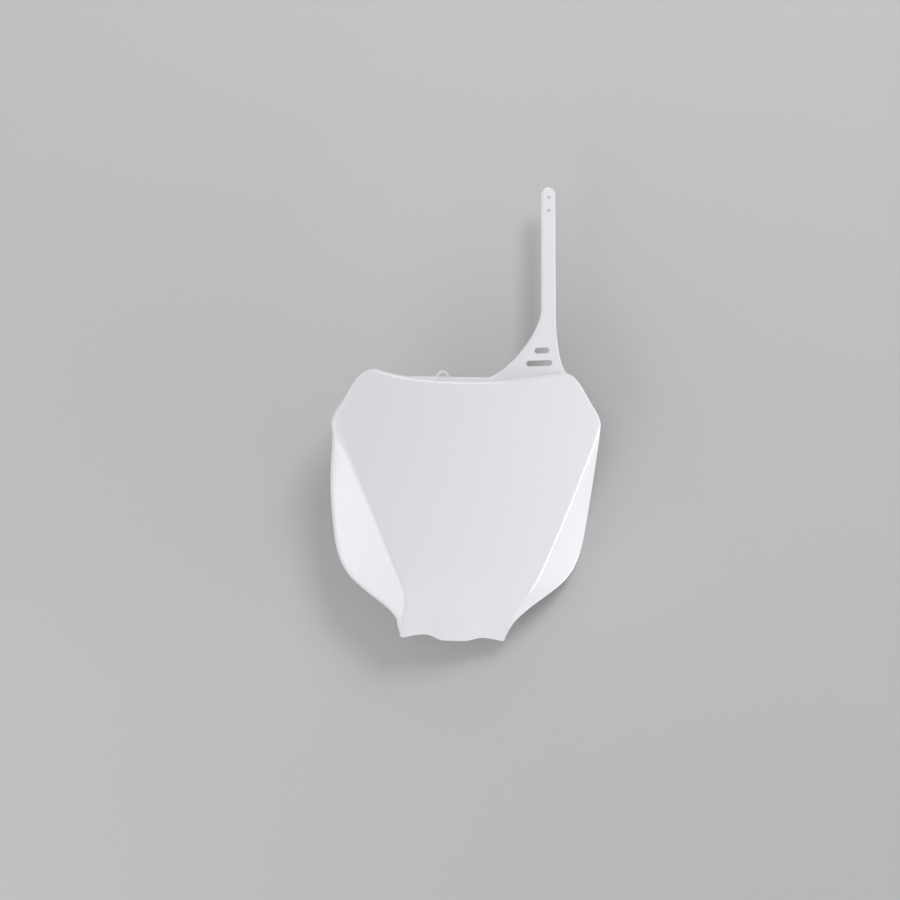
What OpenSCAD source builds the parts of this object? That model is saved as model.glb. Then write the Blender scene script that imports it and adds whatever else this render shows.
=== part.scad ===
// Front number board of a motocross motorcycle, moulded in one piece.
// +X is the viewer's right, +Y points to the back of the board and +Z up.
// The origin lies midway between the two locating pins, in the plane of their seats.

/* [Face outline] */
// Width of the face across the shoulders
shoulder_w = 241; // [232:1:252]
// Height of the shoulders above the pins
shoulder_h = 98; // [92:1:104]
// Width of the face between the two top corners
top_w = 170; // [158:1:182]
// Height of the top corners above the pins
top_h = 144.5; // [140:0.5:152]
// How far the top edge dips between its corners
top_dip = 9.5; // [5:0.5:12]
// How level the left half of that dip runs. 2 makes it a parabola
top_level_left = 2.8; // [2:0.1:4]
// Width of the face where the hips begin to turn in
hip_w = 233.4; // [224:0.2:240]
// Height at which the hips begin to turn in
hip_h = 13; // [4:1:20]
// Width of the face halfway down the flanks
flank_w = 193.6; // [180:0.2:204]
// Drop of that flank point below the pins
flank_drop = 40; // [34:0.5:46]
// Slope of the flanks there, in degrees from level
flank_slope = 44.5; // [36:0.5:52]
// Width of the tongue at the bottom edge
tongue_w = 95.2; // [86:0.2:106]
// Drop of the bottom edge below the pins
tongue_drop = 96; // [89:0.2:104]
// How far the tongue sits to the left of the middle
tongue_shift = 7; // [0:0.2:10]
// Tilt of the bottom edge, in degrees, lower on the right
tongue_tilt = 3.2; // [0:0.2:5]
// Rise of the left scallop in the bottom edge
scallop_left = 5.2; // [0:0.2:6]
// Rise of the right scallop in the bottom edge
scallop_right = 3.6; // [0:0.2:6]
// Distance of each scallop from the middle of the tongue
scallop_at = 27; // [24:0.5:29]
// Half width of each scallop on its inner side
scallop_in_w = 18; // [12:0.5:20]
// Half width of each scallop on its outer side
scallop_out_w = 32; // [20:1:40]

/* [Face shape] */
// Distance from the seat plane to the front of the face, where it stands furthest forward
face_depth = 14; // [12:0.5:18]
// Radius of the face, seen from above
face_r = 600; // [480:10:900]
// Radius of the face, seen from the side
bow_r = 455; // [400:5:700]
// Height above the pins at which the face stands furthest forward
bow_h = 60; // [50:1:75]
// Angle by which the side panels fold back beside the tongue
panel_angle_low = 25; // [16:1:34]
// Angle by which they fold back at the shoulders
panel_angle_high = 52; // [42:1:58]
// Half width between the two creases, at the height of the pins
crease_half_w = 80.6; // [76:0.2:86]
// Lean of the creases, in degrees from upright
crease_lean = 24.2; // [21:0.1:27]
// Gap between a crease and the tongue's corner
crease_gap = 2; // [0.5:0.1:4]
// Lean of the creases beside the tongue
tongue_lean = 4; // [0:1:10]
// Half width of the rounding over a crease, beside the tongue
crease_soft_low = 2; // [1.5:0.5:8]
// Half width of the rounding over a crease, at the shoulders
crease_soft_high = 5; // [3:0.5:13]
// Drop below the pins at which the tongue starts to roll back
roll_start = 30; // [20:1:40]
// Radius of that roll
roll_r = 100; // [75:5:150]
// Depth of the two hose flutes in the tongue
flute_depth = 1.6; // [0:0.2:3]

/* [Wall and rim] */
// Thickness of the moulded wall
wall = 2.2; // [1.8:0.1:2.8]
// Outer radius of the rounded edge
edge_r = 3.5; // [3.2:0.1:5]
// Outer radius of that edge under the tongue
lip_r = 1.6; // [1.2:0.1:2.6]
// Depth of the return rim along the sides
rim_d = 7; // [4:0.5:10]
// Draft of that rim, in degrees
rim_draft = 8; // [2:1:12]
// Depth of the lip under the tongue
lip_d = 1; // [0.5:0.1:2]

/* [Strap] */
// Distance of the strap from the middle of the board
strap_x = 73.8; // [68:0.2:76]
// Width of the strap above its root
strap_w = 13.5; // [11.5:0.1:14.5]
// Width of the strap at its tip
tip_w = 12.8; // [10:0.1:13.5]
// Height of the strap's tip above the pins
strap_h = 315.5; // [290:0.5:345]
// Thickness of the strap and its ledge
strap_t = 2.4; // [2:0.1:3]
// Distance from the seat plane to the back of the strap
strap_back = 3.6; // [3:0.2:6]
// Height above the ledge at which the strap starts to widen into its root
root_rise = 64.4; // [58:0.2:72]
// Reach of the root to the left of the strap's axis
root_left = 58; // [50:1:66]
// Reach of the root to the right of the strap's axis
root_right = 18; // [15:0.5:20]
// Diameter of the two holes at the tip
hole_d = 3; // [2.6:0.1:4.2]
// Distance between the two holes
hole_pitch = 12.2; // [9:0.1:16]
// Distance from the tip to the upper hole
hole_inset = 9.3; // [6:0.1:12]
// Height of the lower slot's middle, as a share of the root's rise
low_slot_share = 0.21; // [0.19:0.005:0.23]
// Height of the upper slot's middle, as a share of the root's rise
high_slot_share = 0.39; // [0.36:0.005:0.41]
// Height of both slots, as a share of the root's rise
slot_share = 0.082; // [0.07:0.001:0.09]
// Margin between the lower slot's left end and the root's edge
low_slot_in = 14.6; // [12:0.2:18]
// Margin between the upper slot's left end and the root's edge
high_slot_in = 11.4; // [8:0.2:13]
// Margin between the right ends of both slots and the root's edge
slot_in = 9.4; // [7:0.2:11]
// Tilt of the slots, in degrees, higher on the right
slot_tilt = 3.2; // [0:0.2:4]
// Height of the ledge's top edge above the lowest point of the face's top edge
ledge_rise = 6.6; // [5.6:0.1:8]
// Reach of the ledge to the left of the board's middle
ledge_left = 66; // [50:1:70]

/* [Hose loop] */
// Distance of the loop to the left of the board's middle
loop_x = 24.8; // [16:0.2:34]
// Outer radius of the loop
loop_r = 5.6; // [5:0.1:8]
// Thickness of the loop's arch
loop_t = 2.1; // [1.6:0.1:2.8]
// Radius of the fillets at the loop's feet
loop_foot = 3; // [1:0.1:4]

/* [Locating pins] */
// Diameter of each pin
pin_d = 10; // [8:0.1:11.5]
// Length of each pin behind its seat
pin_l = 15; // [10:0.5:20]
// Distance between the two pins
pin_gap = 70; // [56:1:84]
// Chamfer at each pin's end
pin_chamfer = 1.2; // [0.5:0.1:2]
// Diameter of the boss that carries each pin, up to its seat
boss_d = 13; // [12:0.1:15]
// Diameter of the seat that the boss and its gussets make around a pin
seat_d = 17; // [15.5:0.5:22]
// Reach of each gusset along the back of the face
gusset_reach = 18; // [13:0.5:22]
// Thickness of each gusset
gusset_t = 1.8; // [1.4:0.1:2.4]

/* [Hidden] */
$fn = 64;

// Rows of the face between one knot of the side outline and the next
side_rows = [8, 9, 4, 4, 3, 6];
// Share of the chord that a spline's tangent takes
pull = 1.1;
// Columns from the middle to a crease's rounding, over its two halves and out to the edge
mid_cols = 7;
soft_cols = 2;
panel_cols = 3;
// Steps around the rounded edge
edge_steps = 3;
// Narrowest strip that a side panel keeps in the mesh
min_panel = 5;
// Softness of the bend in the crease line, where it turns down along the tongue
crease_bend = 2;
// Height over which the scallops, the tilt and the flutes of the tongue fade out
tongue_fade = 45;
// Heights between which the tongue moves over to the left
shift_from = -42;
shift_to = -86;
// The ledge ends this far inside the strap's back face
ledge_inset = 0.4;
// Share of the wall that the ledge is rooted in, and the least height of its free end
root_share = 0.8;
ledge_end = 1.5;
// Least inner radius of the rounded edge
least_r = 0.3;

// Offsets that round a shoulder and a top corner, across and upward
shoulder_round = [6, 16];
corner_round = [1.5, 8.7];
// Slope of the straight edge between them, in degrees
chamfer_slope = 125.5;

top_x = top_w / 2;
tongue_x = tongue_w / 2;
// Heights of the ledge's top edge and of the strap above its root
ledge_h = top_h - top_dip + ledge_rise;
root_h = ledge_h + root_rise;
// Slope of the top edge where it meets its corner
corner_slope = 180 + atan(2 * top_dip / top_x);

// Knots of the right side outline, from the tongue up to the top corner: x, z and direction
knots = [
    [tongue_x, -tongue_drop, 92],
    [flank_w / 2, -flank_drop, flank_slope],
    [hip_w / 2, hip_h, 82],
    [shoulder_w / 2, shoulder_h, 92],
    [shoulder_w / 2 - shoulder_round.x, shoulder_h + shoulder_round.y, chamfer_slope],
    [(shoulder_w + top_w) / 4 - corner_round.x, top_h - corner_round.y, chamfer_slope],
    [top_x, top_h, corner_slope],
];

function smooth(t) = let (c = min(1, max(0, t))) c * c * (3 - 2 * c);
function soft_max(a, b, k) = (a + b + sqrt((a - b) ^ 2 + k ^ 2)) / 2;
function unit(v) = v / norm(v);

// Point of a cubic Hermite curve from knot a to knot b
function hermite(a, b, t) =
    let (
        p = [a.x, a.y],
        q = [b.x, b.y],
        m = pull * norm(q - p),
        u = m * [cos(a.z), sin(a.z)],
        w = m * [cos(b.z), sin(b.z)]
    )
    (2 * t ^ 3 - 3 * t ^ 2 + 1) * p + (t ^ 3 - 2 * t ^ 2 + t) * u
        + (3 * t ^ 2 - 2 * t ^ 3) * q + (t ^ 3 - t ^ 2) * w;

// Point of a cubic Bezier curve
function bezier(p, t) =
    (1 - t) ^ 3 * p[0] + 3 * t * (1 - t) ^ 2 * p[1] + 3 * t ^ 2 * (1 - t) * p[2] + t ^ 3 * p[3];

// Side outline as one [half width, height] for each row
side = [
    for (k = [0 : len(side_rows) - 1], i = [0 : side_rows[k] - 1])
        hermite(knots[k], knots[k + 1], i / side_rows[k]),
    [top_x, top_h],
];

// Sideways move of the tongue at height z
function shift(z) = -tongue_shift * smooth((z - shift_from) / (shift_to - shift_from));

// Half width between the creases at height z: two leaning lines with a soft bend between them
function crease(z) = soft_max(
    crease_half_w + z * tan(crease_lean),
    tongue_x + crease_gap + (z + tongue_drop) * tan(tongue_lean),
    crease_bend
);

// Share of the way from the tongue up to the shoulders
function rise(z) = smooth((z + tongue_drop) / (shoulder_h + tongue_drop));
function crease_soft(z) = crease_soft_low + (crease_soft_high - crease_soft_low) * rise(z);
function panel_angle(z) = panel_angle_low + (panel_angle_high - panel_angle_low) * rise(z);

// Distance that a slope of 1 falls back at s outside a crease that is rounded over b on both sides
function fold(s, b) = s < -b ? 0 : s < b ? (s + b) ^ 2 / (4 * b) : s;

// A scallop's share at distance x from the middle of the tongue
function hump(x) =
    let (d = (x - scallop_at) / (x < scallop_at ? scallop_in_w : scallop_out_w))
    abs(d) < 1 ? cos(90 * d) ^ 2 : 0;

// Share of the tongue's own forms that is left at height z
function tongue_share(z) = 1 - smooth((z + tongue_drop) / tongue_fade);

// Distance of the front of the face from the seat plane
function face_y(x, z) =
    let (
        a = x - shift(z),
        lean = z - bow_h,
        roll = max(0, -roll_start - z)
    )
    a ^ 2 / (2 * face_r) + lean ^ 2 / (2 * bow_r) + roll ^ 2 / (2 * roll_r) - face_depth
        + tan(panel_angle(z)) * fold(abs(a) - crease(z), crease_soft(z))
        + flute_depth * hump(abs(a)) * tongue_share(z);

// Rise of the bottom edge at distance a from the tongue's middle
function bottom_rise(a) =
    (a < 0 ? scallop_left : scallop_right) * hump(abs(a)) - a * tan(tongue_tilt);

// How far the top edge lies below its corners at distance a from the middle
function dip(a) = top_dip * max(0, 1 - abs(a / top_x) ^ (a < 0 ? top_level_left : 2));
function top_z(x) = top_h - dip(x);

// Columns of a row, from its middle to its right end
function half_row(w, c, b) =
    let (
        c1 = min(c, w - min_panel),
        out = min(b, (w - c1) / 2)
    )
    [
        for (i = [0 : mid_cols - 1]) (c1 - b) * i / mid_cols,
        for (i = [0 : soft_cols - 1]) c1 - b + b * i / soft_cols,
        for (i = [0 : soft_cols - 1]) c1 + out * i / soft_cols,
        for (i = [0 : panel_cols]) c1 + out + (w - c1 - out) * i / panel_cols,
    ];

half_cols = mid_cols + 2 * soft_cols + panel_cols;
cols = 2 * half_cols + 1;
rows = len(side);

// Front of the face as a grid of points, row by row from the bottom
front = [
    for (s = side)
        let (
            w = s.x,
            z = s.y,
            half = half_row(w, crease(z), crease_soft(z)),
            high = max(0, (z - shoulder_h) / (top_h - shoulder_h)) ^ 2
        )
        for (i = [-half_cols : half_cols])
            let (
                a = (i < 0 ? -1 : 1) * half[abs(i)],
                x = a + shift(z),
                zz = z + bottom_rise(a) * tongue_share(z) - dip(a) * high
            )
            [x, face_y(x, zz), zz]
];

// Direction that points into the wall, square to the front of the face
function inward(p) =
    let (
        e = 0.05,
        dx = (face_y(p.x + e, p.z) - face_y(p.x - e, p.z)) / (2 * e),
        dz = (face_y(p.x, p.z + e) - face_y(p.x, p.z - e)) / (2 * e)
    )
    unit([-dx, 1, -dz]);

into = [for (p = front) inward(p)];

// Indices of the grid's border, once around from the lower left corner
border = [
    for (i = [0 : cols - 1]) i,
    for (j = [1 : rows - 1]) j * cols + cols - 1,
    for (i = [1 : cols - 1]) rows * cols - 1 - i,
    for (j = [1 : rows - 2]) (rows - 1 - j) * cols,
];
around = len(border);

// For each border point: the point, the direction into the wall, the way out along the face,
// the direction of the rim, the angle between the last two, the depth of the rim and the
// radius of the edge
edge = [
    for (m = [0 : around - 1])
        let (
            p = front[border[m]],
            n = into[border[m]],
            along = front[border[(m + 1) % around]] - front[border[(m + around - 1) % around]],
            flat_out = unit([along.z, 0, -along.x]),
            out = unit(flat_out - (flat_out * n) * n),
            high = smooth((p.z - shoulder_h) / (top_z(p.x) - shoulder_h)),
            rim = unit([0, 1, 0] + (1 - high) * tan(rim_draft) * flat_out),
            angle = atan2(rim * n, rim * out),
            on_bottom = m < cols,
            low = on_bottom ? 0 : smooth((p.z + tongue_drop) / 16),
            r = lip_r + (edge_r - lip_r) * low,
            end = p + r * (sin(angle) * out + (1 - cos(angle)) * n),
            side_d = lip_d + (rim_d - lip_d) * low,
            top_d = max(lip_d, strap_back - ledge_inset - end.y)
        )
        [p, n, out, rim, angle, side_d * (1 - high) + top_d * high, r]
];

// One ring around the edge: steps of the rounding, then the end of the rim
function ring(step, depth) = [
    for (e = edge)
        let (
            a = e[4] * min(step, edge_steps) / edge_steps,
            r = depth > 0 ? max(least_r, e[6] - depth) : e[6],
            q = e[0] + depth * e[1] + r * (sin(a) * e[2] + (1 - cos(a)) * e[1])
        )
        step > edge_steps ? q + e[5] * e[3] : q
];

rings = edge_steps + 1;
grid = rows * cols;
shell_points = concat(
    front,
    [for (i = [0 : grid - 1]) front[i] + wall * into[i]],
    [for (k = [1 : rings], p = ring(k, 0)) p],
    [for (k = [1 : rings], p = ring(k, wall)) p]
);

// Index of border point m in ring k, on the outer or the inner skin
function at(k, m, inner) = k == 0
    ? border[m % around] + (inner ? grid : 0)
    : 2 * grid + (inner ? rings * around : 0) + (k - 1) * around + m % around;

function quad(a, b, c, d) = [[a, b, c], [a, c, d]];

shell_faces = [
    for (j = [0 : rows - 2], i = [0 : cols - 2])
        let (a = j * cols + i)
        each quad(a, a + cols, a + cols + 1, a + 1),
    for (j = [0 : rows - 2], i = [0 : cols - 2])
        let (a = grid + j * cols + i)
        each quad(a, a + 1, a + cols + 1, a + cols),
    for (k = [0 : rings - 1], m = [0 : around - 1])
        each quad(at(k, m, false), at(k, m + 1, false), at(k + 1, m + 1, false), at(k + 1, m, false)),
    for (k = [0 : rings - 1], m = [0 : around - 1])
        each quad(at(k, m, true), at(k + 1, m, true), at(k + 1, m + 1, true), at(k, m + 1, true)),
    for (m = [0 : around - 1])
        each quad(at(rings, m, false), at(rings, m + 1, false), at(rings, m + 1, true), at(rings, m, true)),
];

// The face with its folded side panels, rounded edge and return rim
module shell() {
    polyhedron(points = shell_points, faces = shell_faces, convexity = 6);
}

// Draws in the X-Z plane and thickens to the front, from the plane y = back
module upright(back, t) {
    translate([0, back, 0]) rotate([90, 0, 0]) linear_extrude(t) children();
}

left_root = [
    [strap_x - root_left, ledge_h],
    [strap_x - root_left * 0.76, ledge_h + 0.3],
    [strap_x - strap_w / 2 + 0.4, ledge_h + 0.61 * root_rise],
    [strap_x - strap_w / 2, root_h],
];
right_root = [
    [strap_x + strap_w / 2, ledge_h + 0.91 * root_rise],
    [strap_x + strap_w / 2, ledge_h + 0.6 * root_rise],
    [strap_x + root_right - 8, ledge_h + 0.16 * root_rise],
    [strap_x + root_right, ledge_h + 3.4],
];

// Height at which the ledge is rooted in the top wall of the face
function ledge_foot(x) =
    let (z = top_z(min(x, top_x - 2)) + edge_r - root_share * wall)
    x < 0 ? min(z, ledge_h - ledge_end) : z;

// Outline of the ledge, the root and the strap
strap_outline = [
    for (x = [strap_x + root_right - 3 : -11 : 11 - ledge_left]) [x, ledge_foot(x)],
    [-ledge_left, ledge_foot(-ledge_left)],
    [-ledge_left, ledge_h - 0.8],
    [0.8 - ledge_left, ledge_h],
    for (t = [0 : 1 / 14 : 1.001]) bezier(left_root, t),
    [strap_x - tip_w / 2, strap_h - tip_w / 2],
    [strap_x + tip_w / 2, strap_h - tip_w / 2],
    for (t = [0 : 1 / 10 : 1.001]) bezier(right_root, t),
];

// Edges of the root as [height, x], to look up x at a height
left_edge = [for (t = [0 : 1 / 40 : 1.001]) let (p = bezier(left_root, t)) [p.y, p.x]];
right_edge = [for (t = [1 : -1 / 40 : -0.001]) let (p = bezier(right_root, max(0, t))) [p.y, p.x]];

// Slot through the root at a share of its rise, from one margin to the other
module slot(share, left_in) {
    z = ledge_h + share * root_rise;
    from = lookup(z, left_edge) + left_in;
    to = lookup(z, right_edge) - slot_in;
    slot_h = slot_share * root_rise;
    l = max(to - from, 1.5 * slot_h);
    r = slot_h / 2;
    translate([to - l / 2, strap_back + 1, z]) rotate([90, -slot_tilt, 0]) union() {
        translate([r - l / 2, -r, 0]) cube([l - slot_h, slot_h, strap_t + 2]);
        for (side = [-1, 1]) translate([side * (l / 2 - r), 0, 0]) cylinder(r = r, h = strap_t + 2);
    }
}

// The strap with its two tip holes, and the two slots that it threads back through
module strap() {
    difference() {
        union() {
            upright(strap_back, strap_t) polygon(strap_outline);
            upright(strap_back, strap_t) translate([strap_x, strap_h - tip_w / 2]) circle(d = tip_w);
        }
        for (i = [0, 1])
            translate([strap_x, strap_back + 1, strap_h - hole_inset - i * hole_pitch])
                rotate([90, 0, 0]) cylinder(d = hole_d, h = strap_t + 2);
        slot(low_slot_share, low_slot_in);
        slot(high_slot_share, high_slot_in);
    }
}

// Angle at which a foot's fillet meets the loop, and the distance of the fillet's centre
loop_turn = asin(loop_foot / (loop_r + loop_foot));
loop_reach = (loop_r + loop_foot) * cos(loop_turn);

// Half of the loop's outline, from the end of its foot up to the top
half_loop = [
    for (t = [-90 : (90 - loop_turn) / 5 : -loop_turn + 0.1]) [loop_foot * cos(t) - loop_reach, loop_foot * (1 + sin(t))],
    for (t = [180 - loop_turn : -(90 - loop_turn) / 12 : 90.1]) loop_r * [cos(t), sin(t)],
    [0, loop_r],
];

// The small arch on the ledge that a hose's tie passes through
module hose_loop() {
    hole_r = loop_r - loop_t;
    upright(strap_back, strap_t) translate([-loop_x, ledge_h]) difference() {
        polygon([
            [-loop_reach, -1],
            each half_loop,
            for (i = [len(half_loop) - 2 : -1 : 0]) [-half_loop[i].x, half_loop[i].y],
            [loop_reach, -1],
        ]);
        polygon([for (t = [0 : 180 / 20 : 180]) hole_r * [cos(t), sin(t)]]);
    }
}

// One blade beside a pin, from the back of the face to the seat. dx and dz give its direction
module gusset(x, dx, dz) {
    reach = gusset_reach;
    wall_y = face_y(x, 0) + wall / 2;
    tip_y = face_y(x + reach * dx, reach * dz) + wall / 2;
    turn = dz == 0 ? (dx > 0 ? 0 : 180) : (dz > 0 ? -90 : 90);
    translate([x, 0, 0]) rotate([0, turn, 0]) translate([0, 0, -gusset_t / 2]) linear_extrude(gusset_t)
        polygon([[0, wall_y], [reach, tip_y], [reach, tip_y + 1.6], [seat_d / 2, 0], [0, 0]]);
}

// A pin that plugs into a grommet of the lower fork clamp, on a boss with four gussets
module pin(x) {
    wall_y = face_y(x, 0) + wall / 2;
    translate([x, 0, 0]) rotate([90, 0, 0]) cylinder(d = boss_d, h = -wall_y);
    translate([x, pin_l - pin_chamfer, 0]) rotate([90, 0, 0]) cylinder(d = pin_d, h = pin_l - pin_chamfer + 1);
    translate([x, pin_l, 0]) rotate([90, 0, 0])
        cylinder(d1 = pin_d - 2 * pin_chamfer, d2 = pin_d, h = pin_chamfer);
    for (d = [-1, 1]) {
        gusset(x, d, 0);
        gusset(x, 0, d);
    }
}

module number_board() {
    color("whitesmoke") union() {
        shell();
        strap();
        hose_loop();
        for (side = [-1, 1]) pin(side * pin_gap / 2);
    }
}

number_board();
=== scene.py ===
"""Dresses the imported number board: its moulded shell, strap, hose loop and pins, with the stage around them."""

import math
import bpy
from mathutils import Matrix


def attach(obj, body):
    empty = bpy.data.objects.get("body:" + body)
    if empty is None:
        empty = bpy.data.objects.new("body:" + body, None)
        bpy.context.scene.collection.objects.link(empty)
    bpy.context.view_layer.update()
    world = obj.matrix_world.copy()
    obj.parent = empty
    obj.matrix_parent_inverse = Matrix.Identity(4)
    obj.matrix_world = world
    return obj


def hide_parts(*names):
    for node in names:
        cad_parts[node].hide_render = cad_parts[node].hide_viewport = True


bl_info = {
    "name": "Number board",
    "version": (1, 0, 0),
    "blender": (4, 5, 0),
    "location": "3D View > Sidebar > Number board",
    "description": "Builds a moulded motocross number board with its strap, and the studio around it",
    "category": "Object",
}

import bmesh
import bpy
import numpy as np
from mathutils import Matrix, Vector
from mathutils.geometry import tessellate_polygon

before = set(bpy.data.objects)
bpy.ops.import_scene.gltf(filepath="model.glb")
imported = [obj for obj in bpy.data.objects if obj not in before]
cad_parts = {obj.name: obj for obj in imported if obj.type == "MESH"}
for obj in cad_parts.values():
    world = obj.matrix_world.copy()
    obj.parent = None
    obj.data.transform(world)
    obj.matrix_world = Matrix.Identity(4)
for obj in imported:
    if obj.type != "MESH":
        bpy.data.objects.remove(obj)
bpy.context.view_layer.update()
NODE = "number_board"


# ---------------------------------------------------------------- sizes and colours


def length(name, default, description):
    """A length in metres, shown in the scene's unit."""
    return bpy.props.FloatProperty(name=name, default=default, description=description, unit="LENGTH", precision=5)


def angle(name, degrees, description):
    """An angle, given here in degrees and kept in radians."""
    return bpy.props.FloatProperty(name=name, default=math.radians(degrees), description=description, subtype="ANGLE")


def number(name, default, description):
    """A plain number."""
    return bpy.props.FloatProperty(name=name, default=default, description=description)


def colour(name, default, description):
    """A linear colour."""
    return bpy.props.FloatVectorProperty(
        name=name, default=default, description=description, subtype="COLOR", size=3, min=0.0, max=1.0
    )


class FaceSizes(bpy.types.PropertyGroup):
    """Outline and shape of the face."""

    shoulder_w: length("Shoulder width", 0.241, "Width of the face across the shoulders")
    shoulder_h: length("Shoulder height", 0.098, "Height of the shoulders above the pins")
    top_w: length("Top width", 0.170, "Width of the face between the two top corners")
    top_h: length("Top height", 0.1445, "Height of the top corners above the pins")
    top_dip: length("Top dip", 0.0095, "How far the top edge dips between its corners")
    top_level_left: number("Level of the left dip", 2.8, "How level the left half of the dip runs")
    hip_w: length("Hip width", 0.2334, "Width of the face where the hips begin to turn in")
    hip_h: length("Hip height", 0.013, "Height at which the hips begin to turn in")
    flank_w: length("Flank width", 0.1936, "Width of the face halfway down the flanks")
    flank_drop: length("Flank drop", 0.040, "Drop of that flank point below the pins")
    flank_slope: angle("Flank slope", 44.5, "Slope of the flanks there")
    tongue_w: length("Tongue width", 0.0952, "Width of the tongue at the bottom edge")
    tongue_drop: length("Tongue drop", 0.096, "Drop of the bottom edge below the pins")
    tongue_shift: length("Tongue shift", 0.007, "How far the tongue sits to the left of the middle")
    tongue_tilt: angle("Tongue tilt", 3.2, "Tilt of the bottom edge, lower on the right")
    tongue_round: length("Tongue corner", 0.0006, "Radius of the tongue's corners inside the rounded edge")
    scallop_left: length("Left scallop", 0.0052, "Rise of the left scallop in the bottom edge")
    scallop_right: length("Right scallop", 0.0036, "Rise of the right scallop in the bottom edge")
    scallop_at: length("Scallop distance", 0.027, "Distance of each scallop from the middle of the tongue")
    scallop_in_w: length("Scallop inside", 0.018, "Half width of each scallop on its inner side")
    scallop_out_w: length("Scallop outside", 0.032, "Half width of each scallop on its outer side")
    face_depth: length("Face depth", 0.014, "Distance from the seat plane to the foremost point of the face")
    face_r: length("Face radius", 0.600, "Radius of the face, seen from above")
    bow_r: length("Bow radius", 0.455, "Radius of the face, seen from the side")
    bow_h: length("Bow height", 0.060, "Height above the pins at which the face stands furthest forward")
    panel_angle_low: angle("Lower panel angle", 25.0, "Angle by which the side panels fold back beside the tongue")
    panel_angle_high: angle("Upper panel angle", 52.0, "Angle by which they fold back at the shoulders")
    crease_half_w: length("Crease half width", 0.0806, "Half width between the creases, at the height of the pins")
    crease_lean: angle("Crease lean", 24.2, "Lean of the creases from upright")
    crease_gap: length("Crease gap", 0.002, "Gap between a crease and the tongue's corner")
    crease_bend: length("Crease bend", 0.002, "Softness of the crease's turn down along the tongue")
    tongue_lean: angle("Tongue lean", 4.0, "Lean of the creases beside the tongue")
    crease_soft_low: length("Lower crease rounding", 0.002, "Half width of a crease's rounding, beside the tongue")
    crease_soft_high: length("Upper crease rounding", 0.005, "Half width of a crease's rounding, at the shoulders")
    roll_start: length("Roll start", 0.030, "Drop below the pins at which the tongue starts to roll back")
    roll_r: length("Roll radius", 0.100, "Radius of that roll")
    flute_depth: length("Flute depth", 0.0016, "Depth of the two hose flutes in the tongue")
    wall: length("Wall", 0.0022, "Thickness of the moulded wall")
    edge_r: length("Edge radius", 0.0035, "Outer radius of the rounded edge")
    lip_r: length("Lip radius", 0.0016, "Outer radius of that edge under the tongue")
    groove_in: length("Groove place", 0.0008, "Distance of the fine groove from the start of the rounded edge")
    groove_w: length("Groove width", 0.0007, "Half width of that groove")
    groove_d: length("Groove depth", 0.00016, "Depth of that groove")
    rim_d: length("Rim depth", 0.007, "Depth of the return rim along the sides")
    rim_draft: angle("Rim draft", 8.0, "Draft of that rim")
    lip_d: length("Lip depth", 0.001, "Depth of the lip under the tongue")


class StrapSizes(bpy.types.PropertyGroup):
    """The strap, its root, the ledge and the hose loop."""

    axis_x: length("Axis", 0.0738, "Distance of the strap from the middle of the board")
    width: length("Width", 0.0135, "Width of the strap above its root")
    tip_w: length("Tip width", 0.0128, "Width of the strap at its tip")
    height: length("Height", 0.3155, "Height of the strap's tip above the pins")
    thick: length("Thickness", 0.0024, "Thickness of the strap and its ledge")
    back: length("Back", 0.0036, "Distance from the seat plane to the back of the strap")
    root_rise: length("Root rise", 0.0644, "Height above the ledge at which the strap starts to widen")
    root_left: length("Root left", 0.058, "Reach of the root to the left of the strap's axis")
    root_right: length("Root right", 0.018, "Reach of the root to the right of the strap's axis")
    hole_d: length("Hole diameter", 0.003, "Diameter of the two holes at the tip")
    hole_pitch: length("Hole pitch", 0.0122, "Distance between the two holes")
    hole_inset: length("Hole inset", 0.0093, "Distance from the tip to the upper hole")
    low_slot_share: number("Lower slot", 0.21, "Height of the lower slot's middle as a share of the root's rise")
    high_slot_share: number("Upper slot", 0.39, "Height of the upper slot's middle as a share of the root's rise")
    slot_share: number("Slot height", 0.082, "Height of both slots as a share of the root's rise")
    low_slot_in: length("Lower margin", 0.0146, "Margin between the lower slot's left end and the root's edge")
    high_slot_in: length("Upper margin", 0.0114, "Margin between the upper slot's left end and the root's edge")
    slot_in: length("Right margin", 0.0094, "Margin between the slots' right ends and the root's edge")
    slot_tilt: angle("Slot tilt", 3.2, "Tilt of the slots, higher on the right")
    ledge_rise: length("Ledge rise", 0.0066, "Height of the ledge's top edge above the lowest point of the face's")
    ledge_left: length("Ledge left", 0.066, "Reach of the ledge to the left of the board's middle")
    loop_x: length("Loop", 0.0248, "Distance of the loop to the left of the board's middle")
    loop_r: length("Loop radius", 0.0056, "Outer radius of the loop")
    loop_t: length("Loop thickness", 0.0021, "Thickness of the loop's arch")
    loop_foot: length("Loop foot", 0.003, "Radius of the fillets at the loop's feet")
    front_round: length("Front rounding", 0.0018, "Rounding of the strap's front edges")
    back_round: length("Back rounding", 0.0005, "Rounding of the strap's back edges")


class PinSizes(bpy.types.PropertyGroup):
    """The two locating pins and their gussets."""

    diameter: length("Diameter", 0.010, "Diameter of each pin")
    length: length("Length", 0.015, "Length of each pin behind its seat")
    gap: length("Gap", 0.070, "Distance between the two pins")
    chamfer: length("Chamfer", 0.0012, "Chamfer at each pin's end")
    boss_d: length("Boss", 0.013, "Diameter of the boss that carries each pin, up to its seat")
    seat_d: length("Seat", 0.017, "Diameter of the seat that the boss and its gussets make")
    reach: length("Reach", 0.018, "Reach of each gusset along the back of the face")
    gusset_t: length("Gusset", 0.0018, "Thickness of each gusset")


class LookSettings(bpy.types.PropertyGroup):
    """Colours and finishes."""

    white: colour("White", (0.800, 0.792, 0.842), "Colour of the moulded plastic")
    warm: colour("Lit white", (0.812, 0.804, 0.846), "Colour where the plastic is a little thicker")
    gloss: number("Gloss roughness", 0.12, "Roughness of the polished front")
    satin: number("Satin roughness", 0.46, "Roughness of the plain back")


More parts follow.
